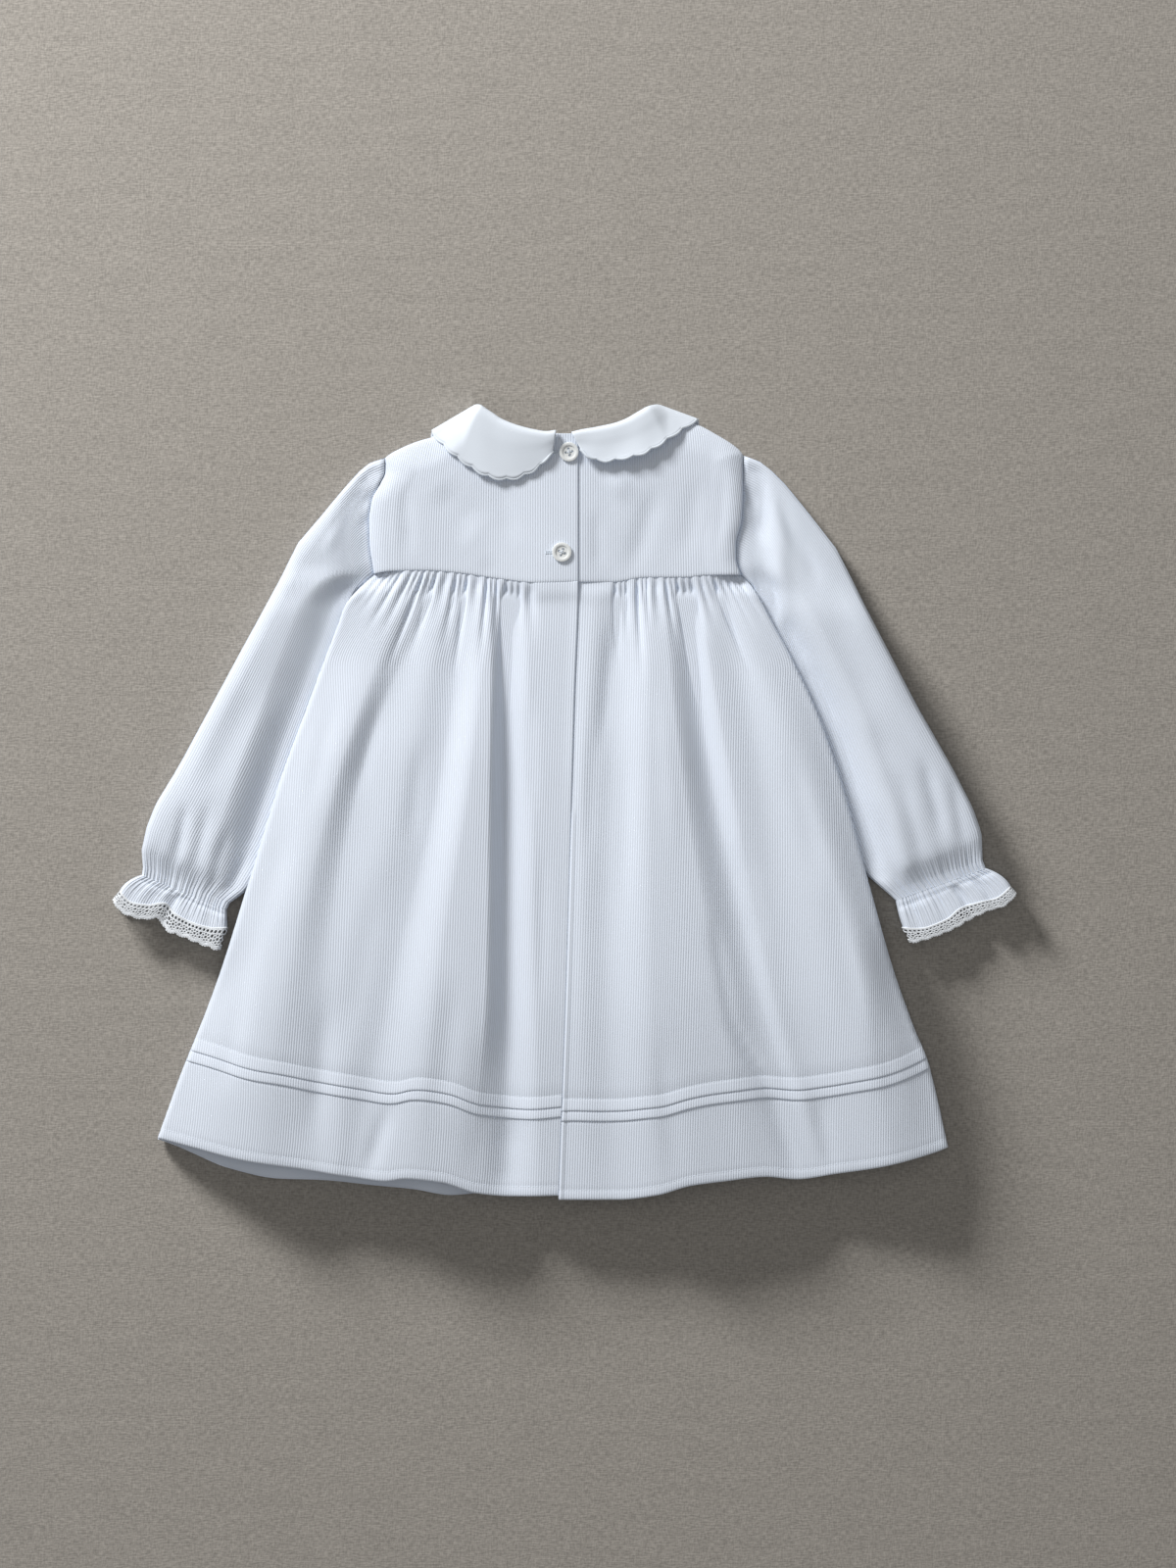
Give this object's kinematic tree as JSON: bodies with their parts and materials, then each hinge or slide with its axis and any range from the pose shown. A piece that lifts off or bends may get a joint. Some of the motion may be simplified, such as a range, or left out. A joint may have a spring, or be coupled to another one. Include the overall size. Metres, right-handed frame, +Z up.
{
  "type": "toddler dress",
  "caption": "Long-sleeved toddler dress in white needlecord, laid flat with its buttoned back up: rounded collar, gathered skirt with tucks, frilled lace-edged wrists.",
  "frame": {"origin": "centre of the bounding box, on the surface that the dress lies on", "axes": "+Z up out of the dress's back, +Y towards the neck, +X towards the wearer's right sleeve (the dress lies face down)"},
  "size_m": [0.5754, 0.5042, 0.024],
  "materials": {
    "needlecord": "matte white needlecord, 16 wales to the inch",
    "collar_cotton": "smooth white cotton lawn",
    "lace": "off-white cotton crochet lace",
    "button": "ivory, polished"
  },
  "bodies": {
    "root": {"front_yoke": "needlecord", "front_skirt": "needlecord", "back_yoke_left": "needlecord", "back_yoke_right": "needlecord", "back_skirt_left": "needlecord", "back_skirt_right": "needlecord", "sleeve_left": "needlecord", "sleeve_right": "needlecord", "lace_left": "lace", "lace_right": "lace", "collar_left": "collar_cotton", "collar_right": "collar_cotton", "button_upper": "button", "button_lower": "button"}
  },
  "joints": []
}
